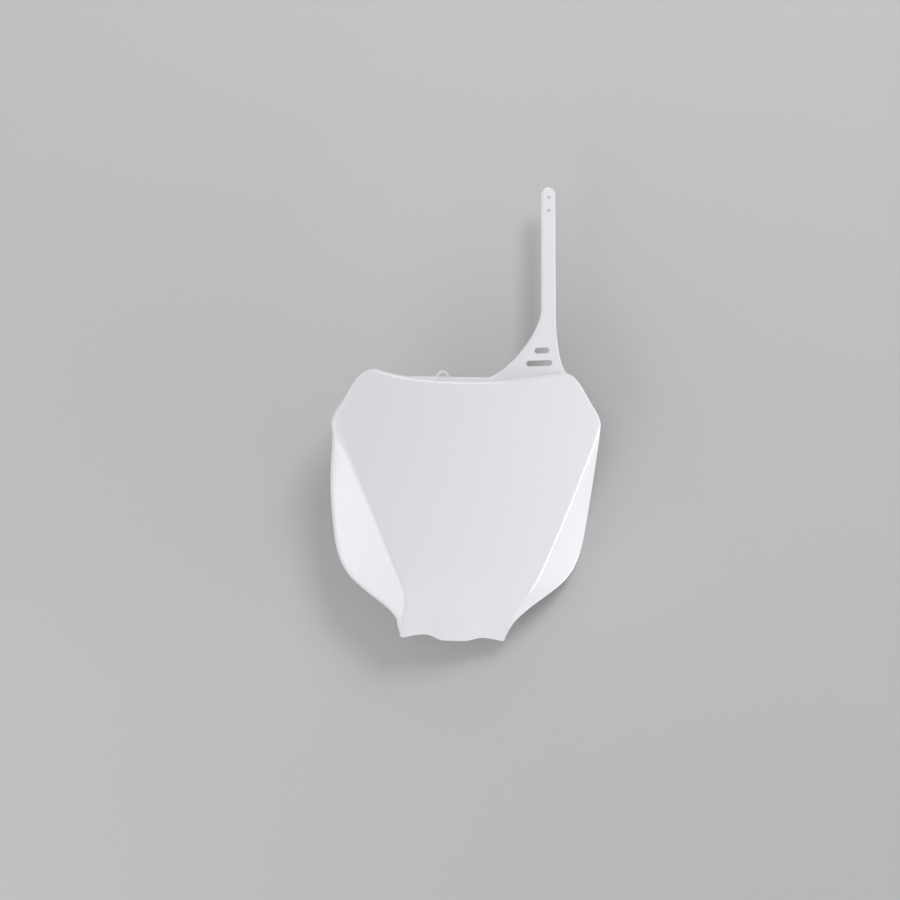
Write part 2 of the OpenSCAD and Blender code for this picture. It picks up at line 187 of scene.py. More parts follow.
class StageSettings(bpy.types.PropertyGroup):
    """Camera, lamps and backdrop."""

    yaw: angle("Yaw", 13.0, "How far the camera stands to the left of the board's front")
    pitch: angle("Pitch", -1.5, "How far the camera looks down")
    distance: length("Distance", 1.5, "Distance of the camera from the origin along its view")
    aside: length("Aside", 0.0180, "How far the origin lies to the right of the view's middle")
    below: length("Below", 0.0763, "How far the origin lies below the view's middle")
    focal: number("Focal length", 67.3, "Focal length in millimetres on a 36 mm sensor")
    light: number("Light", 1.0, "Strength of all the lamps and of the world, as a factor")
    ambient: number("Ambient", 0.28, "Strength of the world's light")
    grey: colour("Backdrop", (0.57, 0.57, 0.568), "Colour of the backdrop")
    slant: angle("Slant", 1.0, "How far the backdrop turns from square to the view towards the board's back")
    gap: length("Gap", 0.001, "Gap between the furthest point of the board and the backdrop")


def pieces():
    """The finished pieces of the board."""
    return [bpy.data.objects[name] for name in ("shell", "strap", "hose_loop", "locating_pins")]


def piece_points(piece):
    """A piece's vertices as an array."""
    points = np.empty(3 * len(piece.data.vertices))
    piece.data.vertices.foreach_get("co", points)
    return points.reshape(-1, 3)


def sizes():
    """The property groups of the scene, by short name."""
    s = bpy.context.scene
    return s.board_face, s.board_strap, s.board_pins, s.board_look, s.board_stage


# ---------------------------------------------------------------- fixed numbers, with lengths in metres


# Rows round the tongue's corner, and from each knot of the side outline to the next
CORNER_ROWS = 6
SIDE_ROWS = (30, 30, 22, 14, 10, 22)
# Slopes of the side outline at the tongue and the shoulder, at the hip, and between the shoulder and the top corner
UPRIGHT_SLOPE, HIP_SLOPE, CHAMFER_SLOPE = math.radians(92), math.radians(82), math.radians(125.5)
# Offsets that round a shoulder and a top corner, across and upward
SHOULDER_ROUND, CORNER_ROUND = (0.006, 0.016), (0.0015, 0.0087)
# Heights between which the tongue moves over to the left
SHIFT_FROM, SHIFT_TO = -0.042, -0.086
# Height over which the tongue's scallops, tilt and flutes fade out
TONGUE_FADE = 0.045
# Columns from the middle to a crease's rounding, over each of its halves, and out to the columns beside the edge
MID_COLS, SOFT_COLS, PANEL_COLS = 22, 8, 10
# Columns beside the edge, as steps of this length from it, close enough for the fine groove
EDGE_COLS = (3.0, 2.4, 1.9, 1.5, 1.2, 1.0, 0.8, 0.6, 0.4, 0.2, 0.0)
EDGE_STEP = 0.0008
# Narrowest strip that a side panel keeps beside its crease
MIN_PANEL = 0.005
# The fine groove grows in over the first height above the tongue, and fades out over the second at the shoulders,
# half of it above them and half below
GROOVE_START, GROOVE_END = 0.006, 0.02

# Steps round the edge, down the rim and round the rim's end
EDGE_STEPS, RIM_STEPS, END_STEPS = 10, 4, 8
# Height over which the lip under the tongue grows into the edge and rim of the sides
LIP_FADE = 0.016
# Least radius of the edge's inner side
LEAST_R = 0.0003
# The most that the rounding of the rim's end takes of the rim's depth
END_SHARE = 0.8
# The top rim ends this far inside the strap's back face
LEDGE_INSET = 0.0004

# Steps round a plate's front edge, and round its back edge
ROUND_STEPS = 5
# Least square of the sum of two neighbouring normals, which limits the mitre of a sharp corner
MITRE_LIMIT = 1.2
# Angle from which an edge without normals of its own is shaded sharp
SHARP = math.radians(40)

# Points along the root's left and right edges, and steps round the strap's tip and round a slot's end
LEFT_POINTS, RIGHT_POINTS, TIP_STEPS, SLOT_STEPS = 64, 56, 32, 16
# Steps round a foot of the hose loop, round half its arch, round its opening and along the opening's base
FOOT_STEPS, ARCH_STEPS, OPENING_STEPS, BASE_STEPS = 9, 19, 24, 8
# Share of the wall that the ledge is rooted in, least height of its free end, and margin from the top corner
ROOT_SHARE, LEDGE_END, CORNER_MARGIN = 0.8, 0.0015, 0.002
# Distance between points along the ledge's foot, their margin from the root's right end, and the free end's chamfer
LEDGE_STEP, ROOT_MARGIN, LEDGE_CHAMFER = 0.004, 0.003, 0.0008
# How far to the right the ledge is low, and the share of its height that its rounding takes there
LOW_LEDGE_TO, LOW_LEDGE_SHARE = 0.015, 0.4
# Share of the rounding left at the root's right foot, and the height above the ledge over which it comes back
FOOT_SHARE, FOOT_FADE = 0.2, 0.012
# How deep the hose loop's feet reach into the ledge
LOOP_SINK = 0.0012
# Front and back roundings of the strap's openings, the hose loop, its opening and the gussets
OPENING_ROUNDS, LOOP_ROUNDS, LOOP_HOLE_ROUNDS = (0.0004, 0.0003), (0.0007, 0.0005), (0.0004, 0.0004)
GUSSET_ROUNDS = (0.00025, 0.00025)
# Reach of the small roundings in a pin's profile, and how far their middle points stand off the corner
PIN_ROUND, PIN_OFF = 0.0003, 0.0001
# Radius that is left open along a pin's axis, and height of a gusset's outer end
AXIS_R, GUSSET_END = 0.00001, 0.0016

# Noises of the plastic, as waves per metre and detail: colour drift, uneven gloss, ripple and grain
DRIFT, BLOTCH, RIPPLE, GRAIN = (7.0, 2.0), (26.0, 4.0), (34.0, 1.0), (1900.0, 2.0)
# Height of the bump, the unevenness of the gloss, and the plastic's index of refraction
BUMP_HEIGHT, UNEVENNESS, PLASTIC_IOR = 0.0001, 0.06, 1.49

# Width of the camera's sensor in millimetres, and its nearest distance
SENSOR, NEAREST = 36.0, 0.02
# Point that the lamps aim at, and their distance from it
LAMP_TARGET, LAMP_DISTANCE = (0.0, 0.0, 0.08), 2.1
# Soft boxes: name, degrees to the right of the view and above it, width, height and watts
LAMPS = (
    ("key", 24, 40, 0.75, 0.75, 15.8),
    ("top", -20, 62, 1.9, 0.8, 4.8),
    ("front", -26, 15, 1.6, 1.6, 6.2),
    ("left", -68, -38, 1.6, 1.9, 28.6),
    ("right", 87, -22, 0.36, 2.2, 36.0),
)
# Half size of the backdrop, and its roughness
BACKDROP_HALF, BACKDROP_ROUGHNESS = 3.0, 0.9


# ---------------------------------------------------------------- shape of the face


def ease(t):
    """3 t^2 - 2 t^3, with t held between 0 and 1."""
    t = np.clip(t, 0.0, 1.0)
    return t * t * (3.0 - 2.0 * t)


def unit(v):
    """Vectors divided by their length."""
    return v / np.linalg.norm(v, axis=-1, keepdims=True)


def hermite(a, b, t, pull=1.1):
    """Cubic Hermite curve between two knots (x, z, direction). Each tangent is the chord times pull."""
    p, q = np.array(a[:2]), np.array(b[:2])
    m = pull * np.linalg.norm(q - p)
    u = m * np.array([math.cos(a[2]), math.sin(a[2])])
    w = m * np.array([math.cos(b[2]), math.sin(b[2])])
    t = t[:, None]
    return (2 * t**3 - 3 * t**2 + 1) * p + (t**3 - 2 * t**2 + t) * u + (3 * t**2 - 2 * t**3) * q + (t**3 - t**2) * w


def bezier(p, n):
    """n points of a cubic Bezier curve: Bernstein weights times the four control points."""
    t = np.linspace(0.0, 1.0, n)[:, None]
    p = np.asarray(p)
    return (1 - t) ** 3 * p[0] + 3 * t * (1 - t) ** 2 * p[1] + 3 * t**2 * (1 - t) * p[2] + t**3 * p[3]


def side_outline(f):
    """Right side of the face as (half width, height), from the tongue's corner up to the top corner.

    A quarter circle rounds the tongue's corner, and Hermite curves join the knots above it."""
    top = f.top_w / 2
    knots = [
        (f.tongue_w / 2, -f.tongue_drop, UPRIGHT_SLOPE),
        (f.flank_w / 2, -f.flank_drop, f.flank_slope),
        (f.hip_w / 2, f.hip_h, HIP_SLOPE),
        (f.shoulder_w / 2, f.shoulder_h, UPRIGHT_SLOPE),
        (f.shoulder_w / 2 - SHOULDER_ROUND[0], f.shoulder_h + SHOULDER_ROUND[1], CHAMFER_SLOPE),
        ((f.shoulder_w + f.top_w) / 4 - CORNER_ROUND[0], f.top_h - CORNER_ROUND[1], CHAMFER_SLOPE),
        (top, f.top_h, math.pi + math.atan(2 * f.top_dip / top)),
    ]
    parts = [hermite(a, b, np.arange(n) / n) for a, b, n in zip(knots, knots[1:], SIDE_ROWS)]
    side = np.concatenate(parts + [[[top, f.top_h]]])
    r = f.tongue_round
    turn = np.linspace(0.0, math.pi / 2, CORNER_ROWS + 1)[:-1]
    corner = np.stack([f.tongue_w / 2 - r * (1 - np.sin(turn)), -f.tongue_drop + r * (1 - np.cos(turn))], 1)
    return np.concatenate([corner, side[side[:, 1] > -f.tongue_drop + r]])


def shift(f, z):
    """Sideways move of the tongue at height z: eased in between two heights."""
    return -f.tongue_shift * ease((z - SHIFT_FROM) / (SHIFT_TO - SHIFT_FROM))


def crease(f, z):
    """Half width between the creases: the greater of two leaning lines, with a soft bend between them.

    It is half the sum of both lines and of the root of their squared difference plus the squared bend."""
    a = f.crease_half_w + z * math.tan(f.crease_lean)
    b = f.tongue_w / 2 + f.crease_gap + (z + f.tongue_drop) * math.tan(f.tongue_lean)
    return (a + b + np.sqrt((a - b) ** 2 + f.crease_bend**2)) / 2


def rise(f, z):
    """Eased share of the way from the tongue up to the shoulders."""
    return ease((z + f.tongue_drop) / (f.shoulder_h + f.tongue_drop))


def crease_soft(f, z):
    """Half width of the rounding over a crease: from its lower to its upper value by the share of the rise."""
    return f.crease_soft_low + (f.crease_soft_high - f.crease_soft_low) * rise(f, z)


def hump(f, a):
    """A scallop's share at distance a from the tongue's middle: one arch of a squared cosine."""
    d = (a - f.scallop_at) / np.where(a < f.scallop_at, f.scallop_in_w, f.scallop_out_w)
    return np.cos(math.pi / 2 * np.clip(d, -1, 1)) ** 2


def tongue_share(f, z):
    """Share of the tongue's own forms that is left at height z: 1 at the bottom edge, eased out to 0."""
    return 1 - ease((z + f.tongue_drop) / TONGUE_FADE)


def face_y(f, x, z):
    """Front of the face: two parabolas across and up, the tongue's roll, the folded panels and the flutes.

    A parabola is the distance squared over twice its radius. Outside a crease the panel falls back by its slope
    times the distance s from the crease, and over the rounding b by (s + b)^2 / 4b."""
    a = x - shift(f, z)
    roll = np.maximum(0.0, -f.roll_start - z)
    s = np.abs(a) - crease(f, z)
    b = crease_soft(f, z)
    fold = np.where(s < -b, 0.0, np.where(s < b, (s + b) ** 2 / (4 * b), s))
    slope = np.tan(f.panel_angle_low + (f.panel_angle_high - f.panel_angle_low) * rise(f, z))
    y = a**2 / (2 * f.face_r) + (z - f.bow_h) ** 2 / (2 * f.bow_r) + roll**2 / (2 * f.roll_r) - f.face_depth
    return y + slope * fold + f.flute_depth * hump(f, np.abs(a)) * tongue_share(f, z)


def back_y(f, x, z):
    """Depth of the middle of the wall at one point, where the pins and their gussets are rooted."""
    return float(face_y(f, np.array(x), np.array(z))) + f.wall / 2


def dip(f, a):
    """How far the top edge lies below its corners at distance a from the middle.

    It is the dip times one minus a power of the distance over the half width: a square on the right."""
    power = np.where(a < 0, f.top_level_left, 2.0)
    return f.top_dip * np.maximum(0.0, 1 - np.abs(a / (f.top_w / 2)) ** power)


def top_z(f, x):
    """Height of the face's top edge, before its rounding."""
    return f.top_h - dip(f, x)


def front_points(f, a, z):
    """Points of the front at distance a from the middle and row height z, with the wavy bottom and dipping top."""
    high = np.maximum(0.0, (z - f.shoulder_h) / (f.top_h - f.shoulder_h)) ** 2
    wave = np.where(a < 0, f.scallop_left, f.scallop_right) * hump(f, np.abs(a)) - a * math.tan(f.tongue_tilt)
    zz = z + wave * tongue_share(f, z) - dip(f, a) * high
    x = a + shift(f, z)
    return np.stack([x, face_y(f, x, zz), zz], -1)


def inward(f, p):
    """Direction into the wall: the gradient of the front's depth, by central differences."""
    x, z, step = p[..., 0], p[..., 2], 0.00005
    dx = (face_y(f, x + step, z) - face_y(f, x - step, z)) / (2 * step)
    dz = (face_y(f, x, z + step) - face_y(f, x, z - step)) / (2 * step)
    return unit(np.stack([-dx, np.ones_like(dx), -dz], -1))


def face_grid(f):
    """The front as a grid of points: each row runs from crease to crease and out to both edges.

    A fine groove, one arch of a squared cosine deep, follows the rounded edge along the sides."""
    side = side_outline(f)
    w, z = side[:, :1], side[:, 1:]
    b = crease_soft(f, z)
    c = np.minimum(crease(f, z), w - MIN_PANEL)
    mid, soft, panel = (np.arange(n) / n for n in (MID_COLS, SOFT_COLS, PANEL_COLS))
    edge = np.array(EDGE_COLS) * EDGE_STEP
    last = w - edge[0]
    out = np.minimum(b, (last - c) / 2)
    half = np.concatenate(
        [(c - b) * mid, c - b + b * soft, c + out * soft, c + out + (last - c - out) * panel, w - edge], 1
    )
    a = np.concatenate([-half[:, :0:-1], half], 1)
    front = front_points(f, a, z + 0 * a)
    beside = (w - np.abs(a) - f.groove_in) / f.groove_w
    deep = f.groove_d * np.cos(math.pi / 2 * np.clip(beside, -1, 1)) ** 2
    below = ease((f.shoulder_h + GROOVE_END / 2 - z) / GROOVE_END)
    front[..., 1] += deep * below * ease((z + f.tongue_drop) / GROOVE_START)
    return front


# ---------------------------------------------------------------- meshes


def make_piece(name, points, faces, materials, slots=None, normals=None):
    """A closed mesh object from arrays, its faces turned outwards, riding on the board's body."""
    points = np.asarray(points, dtype=float)
    mesh = bpy.data.meshes.new(name)
    mesh.from_pydata(points.tolist(), [], [tuple(int(i) for i in q) for q in faces])
    for material in materials:
        mesh.materials.append(material)
    if slots is not None:
        mesh.polygons.foreach_set("material_index", np.asarray(slots, dtype=np.int32))
    mesh.polygons.foreach_set("use_smooth", np.full(len(mesh.polygons), True))
    turned = bmesh.new()
    turned.from_mesh(mesh)
    bmesh.ops.recalc_face_normals(turned, faces=turned.faces)
    turned.to_mesh(mesh)
    turned.free()
    mesh.update()
    if normals is None:
        mesh.set_sharp_from_angle(angle=SHARP)
    else:
        mesh.normals_split_custom_set_from_vertices(normals.tolist())
    piece = bpy.data.objects.new(name, mesh)
    bpy.context.scene.collection.objects.link(piece)
    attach(piece, "root")
    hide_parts(NODE)
    return piece


def strips(a, b):
    """Quads between two closed rows of vertex numbers."""
    return np.stack([a, np.roll(a, -1), np.roll(b, -1), b], 1)


def shell_mesh(f, s):
    """The closed wall of the board as points, faces and material slots.

    The skin's border is carried round the edge by the sine of the turn outwards and one minus its cosine inwards,
    and down the rim. Half an ellipse closes the rim's end, and the same rings lead back on the wall's inner side."""
    front = face_grid(f)
    rows, cols = front.shape[:2]
    into = inward(f, front)
    n = rows * cols
    ids = np.arange(n).reshape(rows, cols)
    border = np.concatenate([ids[0], ids[1:, -1], ids[-1, -2::-1], ids[-2:0:-1, 0]])
    flat_front, flat_into = front.reshape(-1, 3), into.reshape(-1, 3)
    p, inn = flat_front[border], flat_into[border]
    along = np.roll(p, -1, 0) - np.roll(p, 1, 0)
    flat = unit(np.stack([along[:, 2], 0 * along[:, 0], -along[:, 0]], 1))
    out = unit(flat - (flat * inn).sum(1, keepdims=True) * inn)
    high = ease((p[:, 2] - f.shoulder_h) / (top_z(f, p[:, 0]) - f.shoulder_h))[:, None]
    rim = unit(np.array([0.0, 1.0, 0.0]) + (1 - high) * math.tan(f.rim_draft) * flat)
    turn = np.arctan2((rim * inn).sum(1), (rim * out).sum(1))[:, None]
    bottom = (np.arange(len(border)) < cols)[:, None]
    low = np.where(bottom, 0.0, ease((p[:, 2:] + f.tongue_drop) / LIP_FADE))
    radius = f.lip_r + (f.edge_r - f.lip_r) * low
    end = p + radius * (np.sin(turn) * out + (1 - np.cos(turn)) * inn)
    side_d = f.lip_d + (f.rim_d - f.lip_d) * low
    top_d = np.maximum(f.lip_d, s.back - LEDGE_INSET - end[:, 1:2])
    deep = side_d * (1 - high) + top_d * high

    def edge(depth, share):
        """The rounded edge at a depth in the wall, as an arc turned by a share of its whole angle."""
        r = np.maximum(LEAST_R, radius - depth) if depth else radius
        return p + depth * inn + r * (np.sin(turn * share) * out + (1 - np.cos(turn * share)) * inn)

    cap = np.minimum(f.wall / 2, END_SHARE * deep)
    outer, inner = edge(0.0, 1.0), edge(f.wall, 1.0)
    arc = np.linspace(0, 1, EDGE_STEPS + 1)[1:]
    straight = np.linspace(0, 1, RIM_STEPS + 1)[1:]
    over = np.linspace(0, math.pi, END_STEPS + 1)[1:]
    rings = [edge(0.0, t) for t in arc]
    rings += [outer + (deep - cap) * t * rim for t in straight]
    rings += [
        outer + (deep - cap) * rim + (inner - outer) * (1 - math.cos(t)) / 2 + cap * math.sin(t) * rim for t in over
    ]
    rings += [inner + (deep - cap) * t * rim for t in straight[-2::-1]]
    rings += [edge(f.wall, t) for t in arc[::-1]]
    m = len(border)
    points = np.concatenate([flat_front, flat_front + f.wall * flat_into] + rings)
    chain = [border] + [2 * n + k * m + np.arange(m) for k in range(len(rings))] + [n + border]
    skin = np.stack([ids[:-1, :-1], ids[1:, :-1], ids[1:, 1:], ids[:-1, 1:]], -1).reshape(-1, 4)
    walls = [strips(a, b) for a, b in zip(chain, chain[1:])]
    faces = np.concatenate([skin, n + skin[:, ::-1]] + walls)
    back = np.zeros(len(faces), dtype=int)
    back[len(skin) : 2 * len(skin)] = 1
    first_inner = 2 * len(skin) + m * (len(arc) + len(straight) + len(over))
    back[first_inner:] = 1
    return points, faces.tolist(), back


def offset_loop(loop, d):
    """A closed outline moved by d to the left of its direction, with mitred corners.

    A point moves by twice d times the sum of its two sides' normals over that sum's square."""
    step = unit(np.roll(loop, -1, 0) - loop)
    left = np.stack([-step[:, 1], step[:, 0]], 1)
    both = left + np.roll(left, 1, 0)
    return loop + np.reshape(d, (-1, 1)) * 2 * both / np.maximum((both**2).sum(1, keepdims=True), MITRE_LIMIT)


def plate_mesh(loops, thick, rounds):
    """A flat plate with rounded edges, in x and z, from y = 0 at its front to y = thick.

    Each loop has the material on its left. Its edge is a quarter circle at the front and one at the back, and a
    normal is the way out of the outline and the way out of the plate, mixed by the sine and cosine of the turn."""
    points, normals, faces, caps = [], [], [], ([], [])
    base = 0
    for loop, (front, back) in zip(loops, rounds):
        turn = np.linspace(0, math.pi / 2, ROUND_STEPS + 1)
        profile = [(front * (1 - math.sin(t)), front * (1 - math.cos(t)), math.sin(t), -math.cos(t)) for t in turn]
        profile += [
            (back * (1 - math.cos(t)), thick - back * (1 - math.sin(t)), math.cos(t), math.sin(t)) for t in turn
        ]
        n = len(loop)
        # The way out is against any small offset inwards
        away = unit(loop - offset_loop(loop, 0.001))
        for d, y, across, along in profile:
            flat = offset_loop(loop, d)
            points.append(np.stack([flat[:, 0], np.zeros(n) + y, flat[:, 1]], 1))
            normals.append(np.stack([across * away[:, 0], np.full(n, along), across * away[:, 1]], 1))
        for k in range(len(profile) - 1):
            faces += strips(base + (k + 1) * n + np.arange(n), base + k * n + np.arange(n)).tolist()
        caps[0].append((base, n))
        caps[1].append((base + (len(profile) - 1) * n, n))
        base += len(profile) * n
    points = np.concatenate(points)
    for side, cap in enumerate(caps):
        ids = np.concatenate([np.arange(b, b + n) for b, n in cap])
        flat = [[Vector((points[i][0], points[i][2], 0.0)) for i in range(b, b + n)] for b, n in cap]
        for tri in tessellate_polygon(flat):
            t = [int(ids[i]) for i in tri]
            a, b, c = (points[i][[0, 2]] for i in t)
            turned = (b[0] - a[0]) * (c[1] - a[1]) - (b[1] - a[1]) * (c[0] - a[0]) > 0
            faces.append(t if turned == (side == 0) else t[::-1])
    return points, faces, np.concatenate(normals)


def ledge_h(f, s):
    """Height of the ledge's top edge above the pins."""
    return f.top_h - f.top_dip + s.ledge_rise


def root_edges(f, s):
    """The root's left edge going up and its right edge coming down, each a cubic Bezier curve."""
    foot, x, w = ledge_h(f, s), s.axis_x, s.width / 2
    # Each curve's two ends, and between them the two points that pull it, at shares of the root's reach and rise
    left = [
        (x - s.root_left, foot),
        (x - 0.76 * s.root_left, foot + 0.0003),
        (x - w + 0.0004, foot + 0.61 * s.root_rise),
        (x - w, foot + s.root_rise),
    ]
    right = [
        (x + w, foot + 0.91 * s.root_rise),
        (x + w, foot + 0.6 * s.root_rise),
        (x + s.root_right - 0.008, foot + 0.16 * s.root_rise),
        (x + s.root_right, foot + 0.0034),
    ]
    return bezier(left, LEFT_POINTS), bezier(right, RIGHT_POINTS)


def ledge_foot(f, s, x):
    """Height at which the ledge is rooted in the top wall of the face, held low on the left."""
    z = top_z(f, np.minimum(x, f.top_w / 2 - CORNER_MARGIN)) + f.edge_r - ROOT_SHARE * f.wall
    return np.where(x < 0, np.minimum(z, ledge_h(f, s) - LEDGE_END), z)


def strap_outline(f, s):
    """Outline of the ledge, the root and the strap, anticlockwise from the front's right lower end."""
    ledge = ledge_h(f, s)
    left, right = root_edges(f, s)
    x = np.arange(s.axis_x + s.root_right - ROOT_MARGIN, -s.ledge_left, -LEDGE_STEP)
    foot = np.stack([x, ledge_foot(f, s, x)], 1)
    turn = np.linspace(math.pi, 0, TIP_STEPS + 1)
    r = s.tip_w / 2
    tip = np.stack([s.axis_x + r * np.cos(turn), s.height - r + r * np.sin(turn)], 1)
    end = [
        (-s.ledge_left, float(ledge_foot(f, s, np.array(-s.ledge_left)))),
        (-s.ledge_left, ledge - LEDGE_CHAMFER),
        (-s.ledge_left + LEDGE_CHAMFER, ledge),
    ]
    clockwise = np.concatenate([foot, end, left, tip, right])
    return clockwise[::-1]


def rounding_share(f, s, outline):
    """Share of the strap's full rounding at each point: less along the ledge, eased back to 1 above it.

    Where the ledge is low, it is a share of its height over the front rounding, and 1 at the most."""
    x, z = outline[:, 0], outline[:, 1]
    thin = (ledge_h(f, s) - ledge_foot(f, s, x)) / s.front_round
    low = np.where(x < LOW_LEDGE_TO, np.minimum(1.0, LOW_LEDGE_SHARE * thin), 1.0)
    low = np.where(x > s.axis_x + s.width / 2, FOOT_SHARE, low)
    return low + (1 - low) * ease((z - ledge_h(f, s)) / FOOT_FADE)


def round_hole(x, z, r, steps=32):
    """A circle, clockwise, so that the material is on its left."""
    t = np.linspace(0, -2 * math.pi, steps + 1)[:-1]
    return np.stack([x + r * np.cos(t), z + r * np.sin(t)], 1)


def slot_hole(f, s, share, left_in):
    """A slot with round ends at a share of the root's rise, clockwise, from one margin to the other, and tilted."""
    left, right = root_edges(f, s)
    z = ledge_h(f, s) + share * s.root_rise
    start = np.interp(z, left[:, 1], left[:, 0]) + left_in
    stop = np.interp(z, right[::-1, 1], right[::-1, 0]) - s.slot_in
    r = s.slot_share * s.root_rise / 2
    h, x, tilt = (stop - start) / 2 - r, (start + stop) / 2, s.slot_tilt
    t = np.linspace(math.pi / 2, -math.pi / 2, SLOT_STEPS + 1)
    end = np.stack([h + r * np.cos(t), r * np.sin(t)], 1)
    both = np.concatenate([end, -end])
    turn = np.array([[math.cos(tilt), -math.sin(tilt)], [math.sin(tilt), math.cos(tilt)]])
    return both @ turn.T + [x, z]


def loop_outline(s):
    """The hose loop's outline about its middle: foot fillets tangent to the ledge and to the loop's circle."""
    turn = math.asin(s.loop_foot / (s.loop_r + s.loop_foot))
    reach = (s.loop_r + s.loop_foot) * math.cos(turn)
    t = np.linspace(-math.pi / 2, -turn, FOOT_STEPS + 1)
    foot = np.stack([s.loop_foot * np.cos(t) - reach, s.loop_foot * (1 + np.sin(t))], 1)
    t = np.linspace(math.pi - turn, math.pi / 2, ARCH_STEPS + 1)[1:]
    half = np.concatenate([foot, s.loop_r * np.stack([np.cos(t), np.sin(t)], 1)])
    clockwise = np.concatenate([[(-reach, -LOOP_SINK)], half, half[-2::-1] * [-1, 1], [(reach, -LOOP_SINK)]])
    return clockwise[::-1]


def loop_hole(s):
    """The half-round hole of the hose loop, clockwise."""
    r = s.loop_r - s.loop_t
    t = np.linspace(math.pi, 0, OPENING_STEPS + 1)
    arch = r * np.stack([np.cos(t), np.sin(t)], 1)
    x = np.linspace(r, -r, BASE_STEPS + 1)[1:-1]
    return np.concatenate([arch, np.stack([x, 0 * x], 1)])


def pin_profile(p, wall_y):
    """Half section of a pin and its boss as (radius, y), from the wall to the seat and on to the chamfered end."""
    r, boss, end = p.diameter / 2, p.boss_d / 2, p.length
    c, e, o = p.chamfer, PIN_ROUND, PIN_OFF
    return [
        (boss, wall_y),
        (boss, -e),
        (boss - o, -o),
        (boss - e, 0.0),
        (r + e, 0.0),
        (r + o, o),
        (r, e),
        (r, end - c - e),
        (r - o, end - c),
        (r - c, end - o),
        (r - c - e, end),
        (AXIS_R, end),
        (AXIS_R, wall_y),
    ]


def gusset_mesh(f, p, x, dx, dz):
    """One blade beside the pin at x, from the back of the face to the seat, in the direction (dx, dz)."""
    wall_y = back_y(f, x, 0.0)
    tip = back_y(f, x + p.reach * dx, p.reach * dz)
    blade = np.array([(0, wall_y), (p.reach, tip), (p.reach, tip + GUSSET_END), (p.seat_d / 2, 0.0), (0, 0.0)])
    flat, faces, _ = plate_mesh([blade], p.gusset_t, [GUSSET_ROUNDS])
    across, along, up = flat[:, 1] - p.gusset_t / 2, flat[:, 0], flat[:, 2]
    return np.stack([x + along * dx - across * dz, up, along * dz + across * dx], 1), faces


def lathe_mesh(profile, sides=64):
    """A closed profile of (radius, y) turned once round the y axis: radius times the turn's cosine and sine."""
    profile = np.asarray(profile)
    t = np.linspace(0, 2 * math.pi, sides, endpoint=False)[:, None]
    r, y = profile[:, 0], profile[:, 1]
    points = np.stack([r * np.cos(t), y + 0 * t, r * np.sin(t)], -1)
    n = len(profile)
    ids = np.arange(sides * n).reshape(sides, n)
    faces = np.concatenate([strips(ids[i], ids[(i + 1) % sides]) for i in range(sides)])
    return points.reshape(-1, 3), faces.tolist()


def join(parts):
    """Several (points, faces) as one, with the vertex numbers moved on."""
    points, faces, base = [], [], 0
    for p, q in parts:
        points.append(p)
        faces += [tuple(int(i) + base for i in face) for face in q]
        base += len(p)
    return np.concatenate(points), faces


# ---------------------------------------------------------------- materials


def plastic_group():
    """Node group of the moulded surface: slow colour drift, uneven gloss and a faint ripple, on object coordinates."""
    name = "Moulded surface"
    if name in bpy.data.node_groups:
        return bpy.data.node_groups[name]
    g = bpy.data.node_groups.new(name, "ShaderNodeTree")
    for label, kind, default in (
        ("Colour A", "NodeSocketColor", (0.8, 0.8, 0.8, 1)),
        ("Colour B", "NodeSocketColor", (0.8, 0.8, 0.8, 1)),
        ("Roughness", "NodeSocketFloat", 0.3),
        ("Unevenness", "NodeSocketFloat", 0.05),
        ("Ripple", "NodeSocketFloat", 0.1),
        ("Grain", "NodeSocketFloat", 0.1),
    ):
        socket = g.interface.new_socket(name=label, in_out="INPUT", socket_type=kind)
        socket.default_value = default
    for label, kind in (
        ("Colour", "NodeSocketColor"),
        ("Roughness", "NodeSocketFloat"),
        ("Normal", "NodeSocketVector"),
    ):
        g.interface.new_socket(name=label, in_out="OUTPUT", socket_type=kind)
    inp, outp, where = (
        g.nodes.new(kind) for kind in ("NodeGroupInput", "NodeGroupOutput", "ShaderNodeTexCoord")
    )

    def noise(scale, detail):
        """A noise texture on object coordinates."""
        n = g.nodes.new("ShaderNodeTexNoise")
        n.inputs["Scale"].default_value = scale
        n.inputs["Detail"].default_value = detail
        g.links.new(where.outputs["Object"], n.inputs["Vector"])
        return n.outputs["Fac"]

    def maths(kind, a, b):
        """A Math node of two inputs, each a socket or a number."""
        m = g.nodes.new("ShaderNodeMath")
        m.operation = kind
        for value, socket in zip((a, b), m.inputs):
            if isinstance(value, (int, float)):
                socket.default_value = value
            else:
                g.links.new(value, socket)
        return m.outputs[0]

    mix = g.nodes.new("ShaderNodeMix")
    mix.data_type = "RGBA"
    g.links.new(noise(*DRIFT), mix.inputs["Factor"])
    g.links.new(inp.outputs["Colour A"], mix.inputs["A"])
    g.links.new(inp.outputs["Colour B"], mix.inputs["B"])
    g.links.new(mix.outputs["Result"], outp.inputs["Colour"])
    uneven = maths("MULTIPLY", maths("SUBTRACT", noise(*BLOTCH), 0.5), inp.outputs["Unevenness"])
    g.links.new(maths("ADD", inp.outputs["Roughness"], uneven), outp.inputs["Roughness"])
    swell = maths("MULTIPLY", noise(*RIPPLE), inp.outputs["Ripple"])
    grain = maths("MULTIPLY", noise(*GRAIN), inp.outputs["Grain"])
    bump = g.nodes.new("ShaderNodeBump")
    bump.inputs["Strength"].default_value = 1.0
    bump.inputs["Distance"].default_value = BUMP_HEIGHT
    g.links.new(maths("ADD", swell, grain), bump.inputs["Height"])
    g.links.new(bump.outputs["Normal"], outp.inputs["Normal"])
    return g


